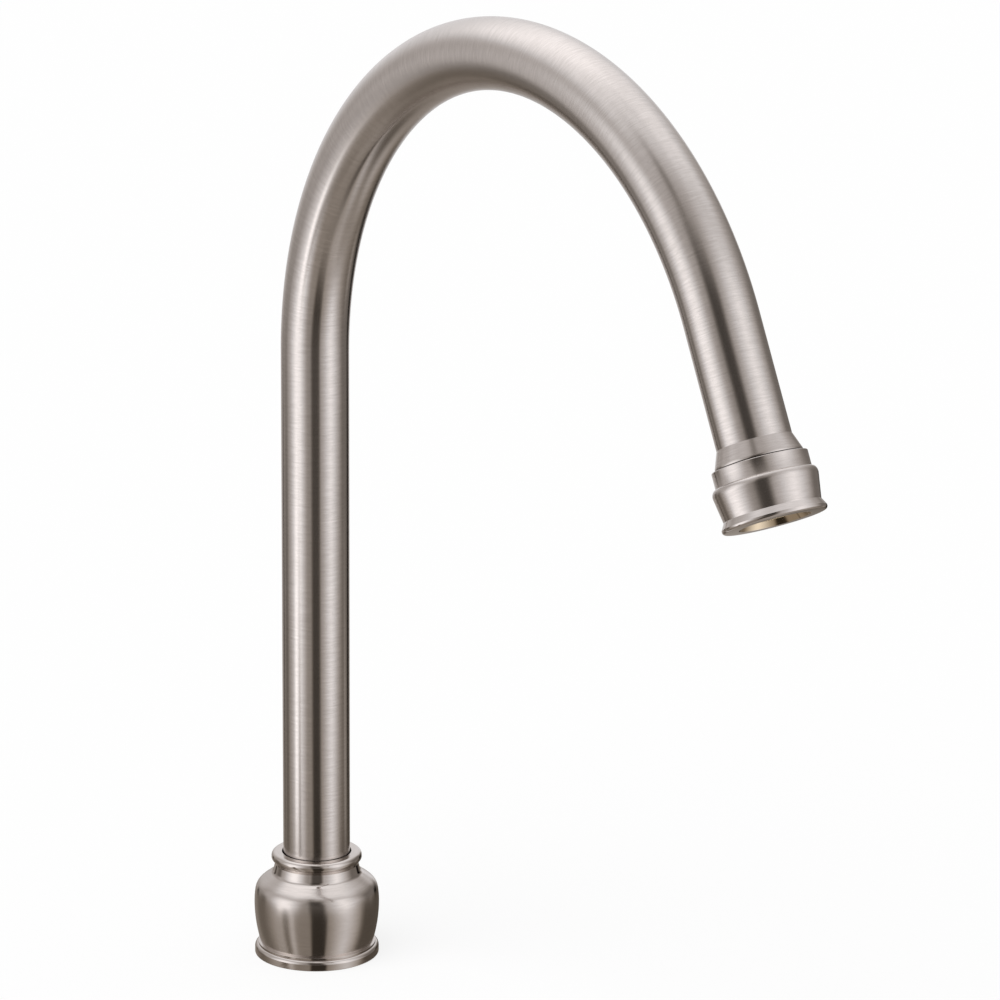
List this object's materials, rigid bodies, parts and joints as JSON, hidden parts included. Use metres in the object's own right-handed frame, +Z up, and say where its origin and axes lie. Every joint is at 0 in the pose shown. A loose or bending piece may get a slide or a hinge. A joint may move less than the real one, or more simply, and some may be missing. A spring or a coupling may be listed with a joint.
{
  "type": "gooseneck bar faucet spout",
  "caption": "Swivelling gooseneck spout: a bent tube turning in a bell-shaped nut, with a screw-on aerator at the outlet.",
  "frame": {"origin": "centre of the inlet thread's mouth, on the deck plane, in the axis of the spout's leg", "axes": "+Z up along the leg, +X towards the outlet at rest, +Y across the spout's plane"},
  "size_m": [0.2714, 0.0416, 0.3281],
  "materials": {
    "brushed_nickel": "brushed round the tube, satin",
    "polished_nickel": "finely brushed, brighter at the beads",
    "raw_brass": "machined",
    "black_rubber": "matt",
    "white_acetal": "moulded, satin",
    "green_acetal": "moulded, satin",
    "black_acetal": "moulded, satin",
    "steel_mesh": "etched stainless sheet"
  },
  "bodies": {
    "base": {"bell_nut": "polished_nickel", "spout_socket": "raw_brass", "base_gasket": "black_rubber", "inlet_washer": "black_rubber", "thrust_washer": "white_acetal", "friction_washer": "white_acetal", "collar_bush": "black_acetal"},
    "spout": {"spout_tube": "brushed_nickel", "spout_shank": "raw_brass", "shank_o_ring_lower": "black_rubber", "shank_o_ring_upper": "black_rubber", "outlet_adapter": "brushed_nickel"},
    "cartridge": {"aerator_washer": "black_rubber", "cartridge_housing": "white_acetal", "inlet_screen": "steel_mesh", "flow_restrictor": "green_acetal", "regulator_o_ring": "black_rubber", "jet_plate": "white_acetal", "mesh_screen_upper": "steel_mesh", "mesh_screen_lower": "steel_mesh", "outlet_grid": "white_acetal"},
    "shroud": {"aerator_shroud": "polished_nickel"}
  },
  "joints": [
    {"name": "spout_swivel", "type": "hinge", "parent": "base", "child": "spout", "pos_m": [0, 0, 0.0224], "axis": [0, 0, 1], "continuous": true},
    {"name": "shroud_travel", "type": "slide", "parent": "spout", "child": "cartridge", "axis": [0.4384, 0, -0.8988], "range_m": [0, 0.0047]},
    {"name": "shroud_turn", "type": "hinge", "parent": "cartridge", "child": "shroud", "pos_m": [0.22918, 0, 0.21691], "axis": [0.4384, 0, -0.8988], "range_deg": [0, 1800.5]}
  ],
  "couplings": [
    {"joint": "shroud_turn", "follows": "shroud_travel", "rad_per_m": 6684.2}
  ]
}
